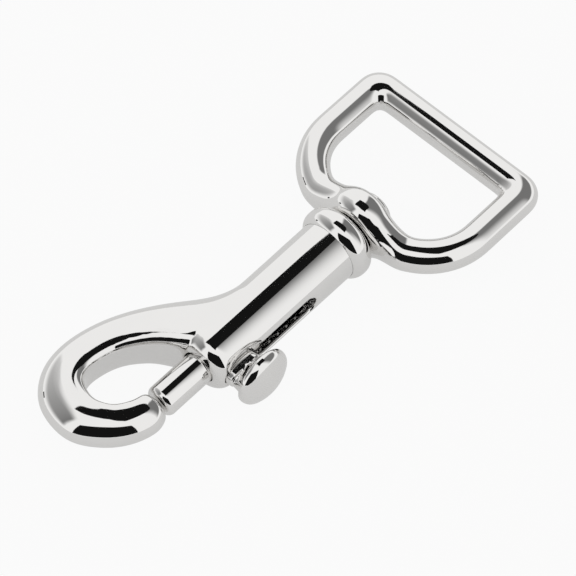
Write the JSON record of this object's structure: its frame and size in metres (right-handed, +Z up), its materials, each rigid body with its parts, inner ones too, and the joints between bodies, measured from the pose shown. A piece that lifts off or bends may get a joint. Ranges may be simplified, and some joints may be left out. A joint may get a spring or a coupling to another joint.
{
  "type": "swivel snap hook",
  "caption": "Swivel snap hook: cast hook with a spring bolt and thumb knob, and a D-shaped strap eye that swivels on a rivet.",
  "frame": {"origin": "centre of the object's box in plan, on the surface that its collar lies on", "axes": "+X along the barrel from the hook's nose to the strap eye, +Y to the open loop of the hook, +Z up out of the flat of the hook"},
  "size_m": [0.0844, 0.0364, 0.0128],
  "materials": {
    "hook_nickel": "bright nickel plate on die-cast zinc, polished to a mirror",
    "cap_nickel": "bright nickel plate on die-cast zinc, polished to a mirror",
    "rivet_nickel": "bright nickel plate on die-cast zinc, polished to a mirror",
    "eye_nickel": "bright nickel plate on die-cast zinc, polished to a mirror",
    "bolt_nickel": "bright nickel plate on die-cast zinc, polished to a mirror",
    "knob_nickel": "bright nickel plate on die-cast zinc, polished to a mirror",
    "spring_steel": "drawn spring wire, lightly oiled"
  },
  "bodies": {
    "hook": {"hook_body": "hook_nickel", "end_cap": "cap_nickel", "swivel_rivet": "rivet_nickel", "bolt_spring": "spring_steel"},
    "slider": {"bolt": "bolt_nickel", "thumb_knob": "knob_nickel"},
    "eye": {"swivel_eye": "eye_nickel"}
  },
  "joints": [
    {"name": "bolt_slide", "type": "slide", "parent": "hook", "child": "slider", "axis": [1, 0, 0], "range_m": [0, 0.0132], "stiffness_N_per_m": 400, "springref_m": -0.006, "deforming": ["bolt_spring"]},
    {"name": "eye_swivel", "type": "hinge", "parent": "hook", "child": "eye", "pos_m": [0.01807, 0, 0.0064], "axis": [1, 0, 0], "continuous": true}
  ]
}
